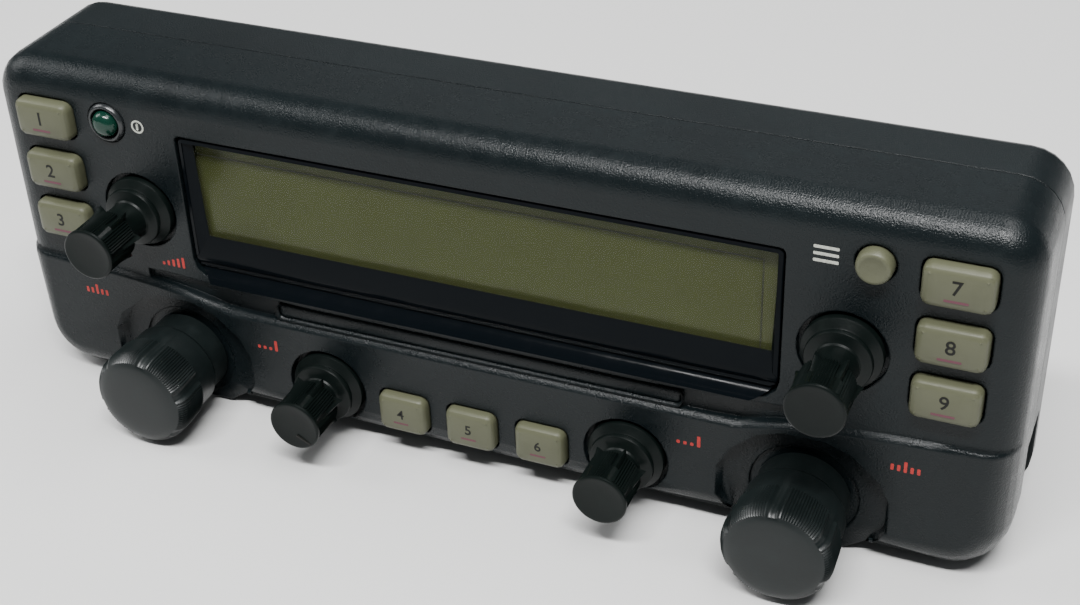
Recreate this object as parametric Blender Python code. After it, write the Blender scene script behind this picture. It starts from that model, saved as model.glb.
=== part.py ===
"""Detachable control head of a dual-band mobile transceiver, built from its separate pieces.

Metres, +Z up. The front faces -Y, X runs to the right seen from the front, and the head stands
on its bottom edge at Z = 0. Depths below are millimetres measured back from the upper front face.
"""
import math

import bmesh
import bpy

for old in list(bpy.data.objects):
    bpy.data.objects.remove(old, do_unlink=True)

MM = 0.001
GAP = 0.3  # between pieces that meet
BUTTON_GAP = 0.3  # round each button, in its hole
SHAFT_GAP = 0.05  # round each shaft, in its bushing

# Whole body
WIDTH = 140.0
HEIGHT = 50.0
SEAM_DEPTH = 13.0  # front case meets rear cover
BODY_DEPTH = 21.5
DIAL_REACH = 13.0  # how far the dials stand out of the upper face
FACE_Y = -0.5 * (BODY_DEPTH - DIAL_REACH)  # puts the whole depth evenly round Y = 0
TOP_CORNER = 5.6
BOTTOM_CORNER = 7.4
EDGE_ROUND = 4.2
LOW_ROUND = 5.2  # the lower front edge is rounder, up the face
LOW_EXTRA = 2.3  # and further back
CHIN_PROUD = 0.8  # the lower band stands this far out of the upper face
WALL = 1.8
FRONT_WALL = 2.2
COVER_WALL = 1.8
COVER_INSIDE = BODY_DEPTH - COVER_WALL

# Tuning knobs and the lower band, which is as tall as their seats need
DIAL_RADIUS = 7.1
DIAL_X = WIDTH / 2 - 25.2
DIAL_Z = DIAL_RADIUS + 0.5
DIAL_POCKET = DIAL_RADIUS
SEAT_WIDE = DIAL_RADIUS + 3.3  # half width and half height of a seat's flat floor
SEAT_TALL = DIAL_RADIUS + 2.1
SEAT_SLOPE = 0.7  # how far its sloping edge spreads out
SEAT_DEPTH = 0.3
CHIN_Z = DIAL_Z + SEAT_TALL + 0.2
CHIN_RISE = 3.6

# Display
WINDOW_X = WIDTH / 2 - 28.8
WINDOW_LOW = CHIN_Z + 4.2
WINDOW_HIGH = HEIGHT - 7.1
LCD_X = WINDOW_X - 1.2
LCD_LOW = WINDOW_LOW + 3.6
LCD_HIGH = WINDOW_HIGH - 1.0
HOLDER_WALL = 1.4
LAMP_X = LCD_X - 6.0
LCD_DEPTH = 3.4
LCD_THICK = 1.6
GUIDE_DEPTH = 5.3
GUIDE_THICK = 3.0
BOARD_DEPTH = 9.5
BOARD_THICK = 1.6

# Buttons
SIDE_X = WIDTH / 2 - 9.0
SIDE_ROWS = (HEIGHT - 7.6, HEIGHT - 15.5, HEIGHT - 23.2)
SIDE_SIZE = (8.3, 5.4)
CENTRE_PITCH = 10.0
CENTRE_Z = 6.9
CENTRE_SIZE = (7.0, 5.8)
ROUND_X = WIDTH / 2 - 18.5
ROUND_Z = HEIGHT - 6.9
ROUND_RADIUS = 2.2
POWER_RADIUS = 1.9
BUTTON_TRAVEL = 0.7
FLANGE = 0.6  # how far a key's rim reaches past its hole, behind the wall
STEM_END = 4.6
STEM_RADIUS = 1.4

# Knobs
VOL_X = WIDTH / 2 - 21.5
VOL_Z = HEIGHT - 19.7
VOL_REACH = 12.4
SQL_X = 21.7
SQL_Z = 8.0
SQL_REACH = 10.4
KNOB_CAP = 3.75
VOL_POCKET = 5.6
SQL_POCKET = 5.8
SHAFT_RADIUS = 1.5
DIAL_SHAFT_RADIUS = 2.0
BUSHING_WALL = 1.3

# Fasteners and the jack
SCREWS = {
    "top_left": (-WIDTH / 2 + 36.0, HEIGHT - 3.8),
    "top_right": (WIDTH / 2 - 36.0, HEIGHT - 3.8),
    "bottom_left": (-DIAL_X + 12.3, 5.6),
    "bottom_right": (DIAL_X - 12.3, 5.6),
}
SCREW_RADIUS = 1.0
HEAD_RADIUS = 2.2
POST_RADIUS = 2.0
HEAD_DEPTH = BODY_DEPTH - 1.8
SCREW_TIP = 5.0
INSERT_X = 30.0
INSERT_Z = HEIGHT / 2
INSERT_RADIUS = 2.3
INSERT_LENGTH = 5.7
JACK_LOW = 2.9
JACK_WIDTH = 11.6
JACK_HIGH = JACK_LOW + JACK_WIDTH
JACK_FACE_X = WIDTH / 2 - 2.0
JACK_LENGTH = 13.0
JACK_DEPTHS = (BOARD_DEPTH + 0.7, BOARD_DEPTH + 8.4)
SOCKET_WALL = 0.9


def material(name, color, metallic=0.0, roughness=0.5, alpha=1.0):
    mat = bpy.data.materials.new(name)
    mat.use_nodes = True
    shader = mat.node_tree.nodes["Principled BSDF"]
    shader.inputs["Base Color"].default_value = (*color, 1.0)
    shader.inputs["Metallic"].default_value = metallic
    shader.inputs["Roughness"].default_value = roughness
    shader.inputs["Alpha"].default_value = alpha
    mat.diffuse_color = (*color, alpha)
    return mat


CASE = material("case_plastic", (0.034, 0.040, 0.043), roughness=0.5)
COVER = material("cover_plastic", (0.030, 0.035, 0.038), roughness=0.55)
KNOB = material("knob_plastic", (0.012, 0.014, 0.016), roughness=0.3)
KEY = material("key_plastic", (0.42, 0.42, 0.33), roughness=0.45)
POWER = material("power_lens", (0.02, 0.20, 0.13), roughness=0.2)
COLLAR = material("collar_plastic", (0.01, 0.012, 0.014), roughness=0.3)
CLEAR = material("window_clear", (0.75, 0.78, 0.72), roughness=0.05, alpha=0.3)
LCD = material("lcd_olive", (0.26, 0.28, 0.13), roughness=0.2)
GUIDE = material("guide_acrylic", (0.70, 0.72, 0.58), roughness=0.2)
HOLDER = material("holder_plastic", (0.75, 0.75, 0.72), roughness=0.5)
RUBBER = material("strip_rubber", (0.55, 0.20, 0.25), roughness=0.7)
BOARD = material("board_green", (0.03, 0.16, 0.06), roughness=0.4)
CHIP = material("chip_black", (0.02, 0.02, 0.02), roughness=0.5)
LAMP = material("lamp_white", (0.85, 0.83, 0.70), roughness=0.3)
STEEL = material("screw_steel", (0.25, 0.25, 0.26), metallic=1.0, roughness=0.35)
BRASS = material("insert_brass", (0.75, 0.55, 0.22), metallic=1.0, roughness=0.3)
SHAFT = material("shaft_steel", (0.60, 0.60, 0.60), metallic=1.0, roughness=0.3)
POT = material("pot_tin", (0.50, 0.51, 0.52), metallic=1.0, roughness=0.4)
SWITCH = material("switch_black", (0.03, 0.03, 0.03), roughness=0.5)
JACK = material("jack_black", (0.025, 0.025, 0.025), roughness=0.5)
GOLD = material("contact_gold", (0.83, 0.62, 0.25), metallic=1.0, roughness=0.25)


def rounded(cx, cz, width, height, top, bottom=None, seg=3):
    """Outline of a rounded rectangle, anticlockwise from the right end of the top right corner."""
    bottom = top if bottom is None else bottom
    right, left = cx + width / 2, cx - width / 2
    high, low = cz + height / 2, cz - height / 2
    corners = (
        (right - top, high - top, top, 0),
        (left + top, high - top, top, 90),
        (left + bottom, low + bottom, bottom, 180),
        (right - bottom, low + bottom, bottom, 270),
    )
    points = []
    for x, z, radius, start in corners:
        for step in range(seg + 1):
            angle = math.radians(start + 90 * step / seg)
            points.append((x + radius * math.cos(angle), z + radius * math.sin(angle)))
    return points


def circle(cx, cz, radius, count=24):
    angles = [2 * math.pi * (step + 0.5) / count for step in range(count)]
    return [(cx + radius * math.cos(a), cz + radius * math.sin(a)) for a in angles]


def octagon(cx, cz, wide, tall):
    """Eight flats with each corner clipped, so it reads as rounded."""
    points = []
    reach = 1 / math.cos(math.radians(15))
    for step in range(8):
        for turn in (-9, 9):
            angle = math.radians(45 * step + 22.5 + turn)
            across = wide * reach * math.cos(angle)
            points.append((cx + across, cz + tall * reach * math.sin(angle)))
    return points


def finish(name, bm, mat, pivot=None, smooth=True):
    """Makes the object from the bmesh, whose points are in the working millimetres."""
    bmesh.ops.remove_doubles(bm, verts=bm.verts, dist=1e-5)
    bmesh.ops.recalc_face_normals(bm, faces=bm.faces)
    origin = pivot or (0.0, 0.0, 0.0)
    for vert in bm.verts:
        vert.co.x = (vert.co.x - origin[0]) * MM
        vert.co.y = (vert.co.y - origin[1]) * MM
        vert.co.z = (vert.co.z - origin[2]) * MM
    mesh = bpy.data.meshes.new(name)
    bm.to_mesh(mesh)
    bm.free()
    obj = bpy.data.objects.new(name, mesh)
    obj.location = (origin[0] * MM, (origin[1] + FACE_Y) * MM, origin[2] * MM)
    bpy.context.scene.collection.objects.link(obj)
    if mat:
        mesh.materials.append(mat)
    if smooth:
        for face in mesh.polygons:
            face.use_smooth = True
        mesh.set_sharp_from_angle(angle=math.radians(35))
    return obj


def add_rings(bm, rings, loop=False):
    """Skins outlines of equal count, each (points, depth). A loop joins its last to its first."""
    made = []
    for points, depth in rings:
        made.append([bm.verts.new((x, depth, z)) for x, z in points])
    pairs = list(zip(made, made[1:]))
    if loop:
        pairs.append((made[-1], made[0]))
    else:
        bm.faces.new(made[0])
        bm.faces.new(list(reversed(made[-1])))
    for front, back in pairs:
        count = len(front)
        for step in range(count):
            after = (step + 1) % count
            bm.faces.new((front[step], back[step], back[after], front[after]))


def loft(name, rings, mat, pivot=None, loop=False, smooth=True):
    bm = bmesh.new()
    add_rings(bm, rings, loop)
    return finish(name, bm, mat, pivot, smooth)


def prisms(name, shapes):
    """One cutter holding several separate prisms, each (outline, front depth, back depth)."""
    return stacks(name, [[(points, front), (points, back)] for points, front, back in shapes])


def stacks(name, sets):
    """One cutter holding several separate stepped solids, each a list of rings."""
    bm = bmesh.new()
    for rings in sets:
        add_rings(bm, rings)
    return as_cutter(finish(name, bm, None, smooth=False))


def as_cutter(obj):
    obj.hide_render = True
    obj.display_type = "WIRE"
    return obj


def box_cutter(name, low, high):
    x, z = (low[0] + high[0]) / 2, (low[2] + high[2]) / 2
    flat = rounded(x, z, high[0] - low[0], high[2] - low[2], 0.01, seg=1)
    return prisms(name, [(flat, low[1], high[1])])


def combine(obj, other, operation="DIFFERENCE"):
    step = obj.modifiers.new(other.name, "BOOLEAN")
    step.operation = operation
    step.solver = "EXACT"
    step.object = other
    return obj


def turned(name, profile, mat, cx, cz, count=28, loop=False, shape=None):
    """A piece turned about the depth axis through (cx, cz). profile is (depth, radius) pairs."""
    rings = []
    for depth, radius in profile:
        if shape:
            rings.append((shape(cx, cz, depth, radius), depth))
        else:
            rings.append((circle(cx, cz, radius, count), depth))
    return loft(name, rings, mat, pivot=(cx, 0.0, cz), loop=loop)


def chin_line(x):
    """Height of the lower band's top edge: level in the middle and rising to the ends."""
    reach = max(0.0, abs(x) - WIDTH / 2 + 34.0)
    return CHIN_Z + CHIN_RISE * (1.0 - math.exp(-reach / 12.0))


def strip_line(x):
    """Height of the upper face's lower edge, above the groove."""
    reach = max(0.0, abs(x) - WIDTH / 2 + 46.0)
    return CHIN_Z + min(1.9 + 0.1 * reach, CHIN_RISE + 0.3)


CHIN_STEPS = ((0.0, 0.0), (0.22, 0.62), (0.7, 1.0))  # below the line, share of the full step


def case_outline(inset):
    """Outline of the case with extra points where the lower band's edge meets the two sides."""
    top = max(TOP_CORNER - inset, 0.5)
    bottom = max(BOTTOM_CORNER - inset, 0.5)
    low = inset * LOW_ROUND / EDGE_ROUND
    middle = (HEIGHT - inset + low) / 2
    points = rounded(0, middle, WIDTH - 2 * inset, HEIGHT - inset - low, top, bottom, seg=6)
    shares = [1.0 if z < CHIN_Z else 0.0 for x, z in points]
    side = WIDTH / 2 - inset
    edge = chin_line(side)
    left = [((-side, edge - drop), share) for drop, share in CHIN_STEPS]
    right = [((side, edge - drop), share) for drop, share in reversed(CHIN_STEPS)]
    joined = list(zip(points, shares))
    return joined[:14] + left + joined[14:] + right


def front_case_shell():
    """The outer skin in rings from the seam forward, then the two flat faces and the step."""
    bm = bmesh.new()
    rings = []
    steps = 5
    levels = [(0.0, SEAM_DEPTH)]
    for step in range(steps + 1):
        angle = math.radians(90 * step / steps)
        inset = EDGE_ROUND * (1 - math.cos(angle))
        levels.append((inset, EDGE_ROUND * (1 - math.sin(angle))))
    for inset, depth in levels:
        part = min(1.0, depth / EDGE_ROUND)
        ring = []
        for (x, z), share in case_outline(inset):
            lower = min(1.0, max(0.0, 1 - z / CHIN_Z) * 1.6)
            back = LOW_EXTRA * part * lower if depth <= EDGE_ROUND else 0.0
            forward = CHIN_PROUD * (1 - part) * share
            ring.append(bm.verts.new((x, depth - forward + back, z)))
        rings.append(ring)
    bm.faces.new(rings[0])
    for back, front in zip(rings, rings[1:]):
        for step in range(len(back)):
            after = (step + 1) % len(back)
            bm.faces.new((back[step], back[after], front[after], front[step]))
    last = rings[-1]
    left = last[14:17]
    right = list(reversed(last[-3:]))
    count = 44
    rows = [[left[k]] for k in range(3)]
    span = WIDTH / 2 - EDGE_ROUND
    for step in range(1, count):
        x = -span + 2 * span * step / count
        for k, (drop, share) in enumerate(CHIN_STEPS):
            rows[k].append(bm.verts.new((x, -CHIN_PROUD * share, chin_line(x) - drop)))
    for k in range(3):
        rows[k].append(right[k])
    for high, low in zip(rows, rows[1:]):
        for step in range(count):
            bm.faces.new((high[step], high[step + 1], low[step + 1], low[step]))
    bm.faces.new(last[:14] + rows[0])
    bm.faces.new(last[17:-3] + list(reversed(rows[2])))
    return finish("front_case", bm, CASE)


def inner_outline(inset, seg=6):
    top = max(TOP_CORNER - inset, 0.5)
    bottom = max(BOTTOM_CORNER - inset, 0.5)
    return rounded(0, HEIGHT / 2, WIDTH - 2 * inset, HEIGHT - 2 * inset, top, bottom, seg)


def build_front_case():
    case = front_case_shell()
    # Raised seats reach forward of the rounded lower edge.
    seats = []
    for side in (-1, 1):
        plate = octagon(side * DIAL_X, DIAL_Z, SEAT_WIDE, SEAT_TALL)
        flat = [(x, max(z, 0.25)) for x, z in plate]
        seats.append((flat, SEAT_DEPTH, EDGE_ROUND + 1))
    combine(case, prisms("case_seats", seats), "UNION")

    round_in = EDGE_ROUND - WALL
    rings = [(inner_outline(WALL), SEAM_DEPTH + 1)]
    for step in range(4):
        angle = math.radians(30 * step)
        inset = WALL + round_in * (1 - math.cos(angle))
        depth = FRONT_WALL + round_in * (1 - math.sin(angle))
        rings.append((inner_outline(inset), depth))
    combine(case, as_cutter(loft("case_cavity", rings, None, smooth=False)))

    # Posts that take the cover screws.
    posts = []
    for x, z in SCREWS.values():
        posts.append((circle(x, z, POST_RADIUS, 16), FRONT_WALL - 0.5, BOARD_DEPTH - GAP))
    combine(case, prisms("case_posts", posts), "UNION")
    pilots = [(circle(x, z, SCREW_RADIUS + GAP, 12), 4.5, 12) for x, z in SCREWS.values()]
    combine(case, prisms("case_pilots", pilots))

    # Pockets with sloping edges that the dial seats lie in.
    flats = []
    for side in (-1, 1):
        sizes = []
        for grow, depth in ((2.5, SEAT_DEPTH - 3.6), (0.02, SEAT_DEPTH)):
            grow = grow * SEAT_SLOPE
            wide, tall = SEAT_WIDE + grow, SEAT_TALL + 0.6 * grow
            sizes.append((octagon(side * DIAL_X, DIAL_Z, wide, tall), depth))
        flats.append(sizes)
    combine(case, stacks("case_seat_pockets", flats))

    # The groove between the upper face and the lower band.
    upper, lower = [], []
    for step in range(25):
        x = (WIDTH / 2 - 21.0) * (step / 12 - 1)
        low = chin_line(x) + 0.02
        lower.append((x, low))
        upper.append((x, max(strip_line(x), low + 0.05)))
    combine(case, prisms("case_groove", [(lower + upper[::-1], -2.0, 0.7)]))

    pockets = []
    for side in (-1, 1):
        pockets.append((circle(side * VOL_X, VOL_Z, VOL_POCKET, 28), -3.0, 1.2))
        pockets.append((circle(side * SQL_X, SQL_Z, SQL_POCKET, 28), -3.0, 0.9))
        pockets.append((circle(side * DIAL_X, DIAL_Z, DIAL_POCKET, 28), -3.0, 1.2))
    combine(case, prisms("case_knob_pockets", pockets))

    holes = []
    window_z = (WINDOW_LOW + WINDOW_HIGH) / 2
    window = rounded(0, window_z, 2 * WINDOW_X, WINDOW_HIGH - WINDOW_LOW, 0.8, 3.0)
    holes.append((window, -3.0, 3.0))
    for side in (-1, 1):
        for z in SIDE_ROWS:
            holes.append((button_hole(side * SIDE_X, z, SIDE_SIZE), -3.0, 3.0))
        small = SHAFT_RADIUS + BUSHING_WALL + 0.5
        large = DIAL_SHAFT_RADIUS + BUSHING_WALL + 0.6
        holes.append((circle(side * VOL_X, VOL_Z, small, 20), 0.5, 4.0))
        holes.append((circle(side * SQL_X, SQL_Z, small, 20), 0.5, 4.0))
        holes.append((circle(side * DIAL_X, DIAL_Z, large, 20), 0.5, 4.0))
    for step in (-1, 0, 1):
        holes.append((button_hole(step * CENTRE_PITCH, CENTRE_Z, CENTRE_SIZE), -3.0, 3.0))
    holes.append((circle(ROUND_X, ROUND_Z, ROUND_RADIUS + BUTTON_GAP, 20), -3.0, 3.0))
    holes.append((circle(-ROUND_X, ROUND_Z, POWER_RADIUS + 1.0, 20), -3.0, 3.0))
    combine(case, prisms("case_holes", holes))

    low = (JACK_FACE_X - 8.0, JACK_DEPTHS[0] - GAP, JACK_LOW - GAP)
    high = (WIDTH / 2 + 2, SEAM_DEPTH + 1, JACK_HIGH + GAP)
    combine(case, box_cutter("case_jack_notch", low, high))
    return case


def button_hole(x, z, size):
    grow = 2 * BUTTON_GAP
    return rounded(x, z, size[0] + grow, size[1] + grow, 1.1 + BUTTON_GAP)


def build_rear_cover():
    outer = []
    back_round = 1.4
    for step in range(4):
        angle = math.radians(30 * step)
        inset = back_round * (1 - math.cos(angle))
        outer.append((inner_outline(inset), BODY_DEPTH - back_round * (1 - math.sin(angle))))
    rings = [(inner_outline(0.0), SEAM_DEPTH + 0.15)] + outer
    cover = loft("rear_cover", rings, COVER)
    tongue = [(inner_outline(WALL + GAP), SEAM_DEPTH - 1.2), (inner_outline(WALL + GAP), 15.0)]
    combine(cover, as_cutter(loft("cover_tongue", tongue, None, smooth=False)), "UNION")
    inside = inner_outline(WALL + GAP + 1.2)
    hollow = [(inside, 10.0), (inside, COVER_INSIDE)]
    combine(cover, as_cutter(loft("cover_cavity", hollow, None, smooth=False)))
    bosses = []
    front = BOARD_DEPTH + BOARD_THICK + GAP
    for x, z in SCREWS.values():
        thin, thick = circle(x, z, 1.9, 16), circle(x, z, 3.3, 16)
        step, root = SEAM_DEPTH + 1.0, COVER_INSIDE + 0.4
        bosses.append([(thin, front), (thin, step), (thick, step), (thick, root)])
    for side in (-1, 1):
        boss = circle(side * INSERT_X, INSERT_Z, INSERT_RADIUS + 1.9, 20)
        bosses.append([(boss, BODY_DEPTH - INSERT_LENGTH - 1.3), (boss, root)])
    combine(cover, stacks("cover_bosses", bosses), "UNION")
    out = BODY_DEPTH + 1.0
    bores = []
    for x, z in SCREWS.values():
        bores.append((circle(x, z, SCREW_RADIUS + GAP, 12), 9.0, COVER_INSIDE + 0.3))
    for side in (-1, 1):
        seat = circle(side * INSERT_X, INSERT_Z, INSERT_RADIUS + SHAFT_GAP, 20)
        bores.append((seat, BODY_DEPTH - INSERT_LENGTH - 0.3, out))
    combine(cover, prisms("cover_bores", bores))
    sinks = []
    for x, z in SCREWS.values():
        sinks.append((circle(x, z, HEAD_RADIUS + GAP, 20), HEAD_DEPTH - GAP, out))
    combine(cover, prisms("cover_sinks", sinks))
    low = (JACK_FACE_X - JACK_LENGTH - 3.0, 9.0, JACK_LOW - GAP)
    high = (WIDTH / 2 + 2, JACK_DEPTHS[1] + 0.1, JACK_HIGH + GAP)
    combine(cover, box_cutter("cover_jack_notch", low, high))
    return cover


def build_display():
    width = 2 * (WINDOW_X - GAP)
    middle = (WINDOW_LOW + WINDOW_HIGH) / 2
    height = WINDOW_HIGH - WINDOW_LOW - 2 * GAP
    front = rounded(0, middle, width - 0.6, height - 0.6, 0.6, 2.6)
    face = rounded(0, middle, width, height, 0.8, 2.8)
    flange = rounded(0, middle, width + 2.0, height + 2.0, 1.0, 3.0)
    rings = [(front, 0.5), (face, 0.8), (face, 2.5), (flange, 2.5), (flange, 3.1)]
    loft("display_window", rings, CLEAR)

    lcd_z = (LCD_LOW + LCD_HIGH) / 2
    lcd_height = LCD_HIGH - LCD_LOW
    lcd = rounded(0, lcd_z, 2 * LCD_X, lcd_height, 0.2, seg=1)
    loft("lcd_glass", [(lcd, LCD_DEPTH), (lcd, LCD_DEPTH + LCD_THICK)], LCD, smooth=False)

    strip_top = LCD_LOW + 1.8
    guide_low = strip_top + GAP
    guide_mid = (guide_low + LCD_HIGH) / 2
    flat = rounded(0, guide_mid, 2 * LCD_X, LCD_HIGH - guide_low, 0.3, seg=1)
    back = GUIDE_DEPTH + GUIDE_THICK
    guide = loft("lcd_light_guide", [(flat, GUIDE_DEPTH), (flat, back)], GUIDE, smooth=False)
    lamp_z = (LCD_LOW + LCD_HIGH) / 2 + 1.2
    notches = []
    for side in (-1, 1):
        notches.append((rounded(side * LAMP_X, lamp_z, 3.6, 2.8, 0.1, seg=1), back - 1.2, back + 1))
    combine(guide, prisms("guide_notches", notches))

    width = 2 * (LCD_X + GAP + HOLDER_WALL) + 2.0
    outer = rounded(0, lcd_z, width, lcd_height + 2 * (GAP + HOLDER_WALL), 0.8, seg=1)
    holder_back = BOARD_DEPTH - GAP
    holder = loft("lcd_holder", [(outer, LCD_DEPTH), (outer, holder_back)], HOLDER, smooth=False)
    pocket = rounded(0, lcd_z, 2 * LCD_X + 0.6, lcd_height + 0.6, 0.3, seg=1)
    combine(holder, prisms("holder_pocket", [(pocket, 2.0, back + GAP)]))
    slots = [(rounded(0, LCD_LOW + 1.0, 2 * LCD_X - 3.4, 1.9, 0.1, seg=1), 8.0, 10.0)]
    for side in (-1, 1):
        slots.append((rounded(side * LAMP_X, lamp_z, 3.6, 2.8, 0.1, seg=1), 8.0, 10.0))
    combine(holder, prisms("holder_slots", slots))

    strip = rounded(0, LCD_LOW + 1.0, 2 * LCD_X - 4.0, 1.3, 0.1, seg=1)
    ends = [(strip, LCD_DEPTH + LCD_THICK + GAP / 2), (strip, BOARD_DEPTH - GAP / 2)]
    loft("lcd_connector_strip", ends, RUBBER, smooth=False)
    for name, side in (("lamp_left", -1), ("lamp_right", 1)):
        lamp = rounded(side * LAMP_X, lamp_z, 3.0, 2.2, 0.3, seg=2)
        loft(name, [(lamp, back - 0.9), (lamp, BOARD_DEPTH - GAP / 2)], LAMP, smooth=False)


def build_board():
    flat = rounded(0, HEIGHT / 2, WIDTH - 8.0, HEIGHT - 5.6, 3.0, seg=2)
    back = BOARD_DEPTH + BOARD_THICK
    board = loft("main_board", [(flat, BOARD_DEPTH), (flat, back)], BOARD, smooth=False)
    holes = [(circle(x, z, 1.5, 12), 8.0, 13.0) for x, z in SCREWS.values()]
    combine(board, prisms("board_holes", holes))
    low = (JACK_FACE_X - JACK_LENGTH - 1.0, 8.0, -1.0)
    high = (WIDTH / 2, 13.0, JACK_HIGH + 2 * GAP)
    combine(board, box_cutter("board_notch", low, high))
    chip = rounded(-14.0, 28.0, 14.0, 14.0, 0.4, seg=1)
    loft("controller_ic", [(chip, back + 0.1), (chip, back + 2.0)], CHIP, smooth=False)


def button(name, x, z, size, face_depth, base_depth):
    """A keycap with sloping sides, a flange behind the wall and a stem to its switch."""
    width, height = size
    flange = (width + 2 * FLANGE, height + 2 * FLANGE)
    rings = [
        (rounded(x, z, width - 1.9, height - 2.0, 0.6), face_depth),
        (rounded(x, z, width - 1.5, height - 1.6, 0.8), face_depth + 0.15),
        (rounded(x, z, width - 0.3, height - 0.3, 1.1), base_depth - 0.1),
        (rounded(x, z, width, height, 1.1), base_depth + 0.3),
        (rounded(x, z, width, height, 1.1), FRONT_WALL + GAP),
        (rounded(x, z, *flange, 1.3), FRONT_WALL + GAP),
        (rounded(x, z, *flange, 1.3), FRONT_WALL + GAP + 0.8),
        (circle(x, z, STEM_RADIUS, 16), FRONT_WALL + GAP + 0.8),
        (circle(x, z, STEM_RADIUS, 16), STEM_END),
    ]
    return loft(name, rings, KEY, pivot=(x, 0.0, z))


def round_button(name, x, z, radius, face_depth, mat, dome):
    profile = [
        (face_depth, radius - dome),
        (face_depth + 0.35 * dome, radius - 0.3 * dome),
        (face_depth + dome, radius),
        (FRONT_WALL + GAP, radius),
        (FRONT_WALL + GAP, radius + FLANGE),
        (FRONT_WALL + GAP + 0.8, radius + FLANGE),
        (FRONT_WALL + GAP + 0.8, STEM_RADIUS),
        (STEM_END, STEM_RADIUS),
    ]
    return turned(name, profile, mat, x, z, count=20)


def switch(name, x, z):
    """A tactile switch: a square body with a short round plunger facing the stem."""
    front = STEM_END + BUTTON_TRAVEL + 0.2
    rings = [
        (circle(x, z, 1.5, 12), front),
        (circle(x, z, 1.5, 12), front + 0.6),
        (rounded(x, z, 6.0, 6.0, 0.3, seg=2), front + 0.6),
        (rounded(x, z, 6.0, 6.0, 0.3, seg=2), BOARD_DEPTH - 0.1),
    ]
    return loft(name, rings, SWITCH)


def build_buttons():
    rows = ("top", "middle", "bottom")
    for side_name, side in (("left", -1), ("right", 1)):
        for row, z in zip(rows, SIDE_ROWS):
            button(f"button_{side_name}_{row}", side * SIDE_X, z, SIDE_SIZE, -1.8, 0.0)
            switch(f"switch_{side_name}_{row}", side * SIDE_X, z)
    for step, place in ((-1, "left"), (0, "middle"), (1, "right")):
        x = step * CENTRE_PITCH
        button(f"button_centre_{place}", x, CENTRE_Z, CENTRE_SIZE, -2.3, -0.8)
        switch(f"switch_centre_{place}", x, CENTRE_Z)
    round_button("button_set", ROUND_X, ROUND_Z, ROUND_RADIUS, -1.5, KEY, 0.35)
    switch("switch_set", ROUND_X, ROUND_Z)
    round_button("button_power", -ROUND_X, ROUND_Z, POWER_RADIUS, -1.5, POWER, 0.8)
    switch("switch_power", -ROUND_X, ROUND_Z)
    ring = [
        (-0.5, POWER_RADIUS + 0.25),
        (-0.5, POWER_RADIUS + 0.55),
        (-0.2, POWER_RADIUS + 0.85),
        (2.1, POWER_RADIUS + 0.85),
        (2.1, POWER_RADIUS + 0.25),
    ]
    turned("power_collar", ring, COLLAR, -ROUND_X, ROUND_Z, count=24, loop=True)


def grip_outline(count, grooves, cut, start, end):
    """Outline maker for a grip with wide shallow grooves between depths start and end."""

    def outline(cx, cz, depth, radius):
        points = []
        for step in range(count):
            angle = 2 * math.pi * (step + 0.5) / count
            reach = radius
            if start <= depth <= end and radius > 2.4:
                phase = math.cos(grooves * angle)
                reach = radius - cut * max(0.0, phase) ** 0.7
            points.append((cx + reach * math.cos(angle), cz + reach * math.sin(angle)))
        return points

    return outline


def small_knob(name, x, z, reach, pocket, face):
    """A volume or squelch knob, hollow for its shaft, its skirt lying in a round pocket."""
    front = -reach
    skirt = pocket - 0.6
    outside = [
        (front + 0.15, KNOB_CAP - 1.2),
        (front, KNOB_CAP - 0.4),
        (front + 0.1, KNOB_CAP - 0.12),
        (front + 0.4, KNOB_CAP),
        (front + 0.9, KNOB_CAP - 0.05),
        (front + 1.1, KNOB_CAP - 0.45),
        (front + 1.2, KNOB_CAP - 0.3),
        (face - 3.7, KNOB_CAP - 0.35),
        (face - 3.5, KNOB_CAP - 0.8),
        (face - 2.6, KNOB_CAP - 0.7),
        (face - 2.3, skirt - 0.95),
        (face - 1.5, skirt - 0.8),
        (face - 1.1, skirt - 1.0),
        (face - 0.5, skirt),
        (face + 0.5, skirt),
        (face + 0.8, skirt - 0.5),
    ]
    shape = grip_outline(36, 6, 0.5, front + 1.15, face - 3.6)
    return knob_from(name, outside, x, z, (SHAFT_RADIUS + SHAFT_GAP, front + 1.6), shape)


def dial_knob(name, x, z):
    front = -DIAL_REACH
    radius = DIAL_RADIUS
    outside = [
        (front, radius - 3.6),
        (front + 0.15, radius - 2.0),
        (front + 0.5, radius - 0.95),
        (front + 1.0, radius - 0.35),
        (front + 1.7, radius - 0.03),
        (front + 2.3, radius),
        (front + 3.1, radius - 0.1),
        (front + 3.4, radius - 0.2),
        (-3.4, radius - 0.45),
        (-2.9, radius - 0.8),
        (-2.6, radius - 1.1),
        (0.7, radius - 1.1),
    ]
    shape = grip_outline(60, 6, 0.6, front + 3.3, -3.3)
    return knob_from(name, outside, x, z, (DIAL_SHAFT_RADIUS + SHAFT_GAP, front + 2.5), shape)


def knob_from(name, outside, x, z, bore, shape):
    """A knob with a blind bore up its back. outside runs from the front to the back."""
    radius, end = bore
    profile = [(end, radius), (outside[-1][0], radius)] + outside[::-1]
    rings = [(shape(x, z, depth, reach), depth) for depth, reach in profile]
    return loft(name, rings, KNOB, pivot=(x, 0.0, z))


def control(name, x, z, half, radius, tip, low=None):
    """A board-mounted control: square body with a round bushing open for the shaft."""
    bore = radius + SHAFT_GAP
    bushing = radius + BUSHING_WALL
    height = 2 * half if low is None else 2 * (z - low)
    body = rounded(x, z, 2 * half, height, 0.6, seg=4)
    count = 20
    rings = [
        (circle(x, z, bore, count), tip),
        (circle(x, z, bushing, count), tip),
        (circle(x, z, bushing, count), 4.2),
        (body, 4.2),
        (body, BOARD_DEPTH - 0.1),
        (circle(x, z, bore, count), BOARD_DEPTH - 0.1),
    ]
    return loft(name, rings, POT, loop=True)


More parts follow.
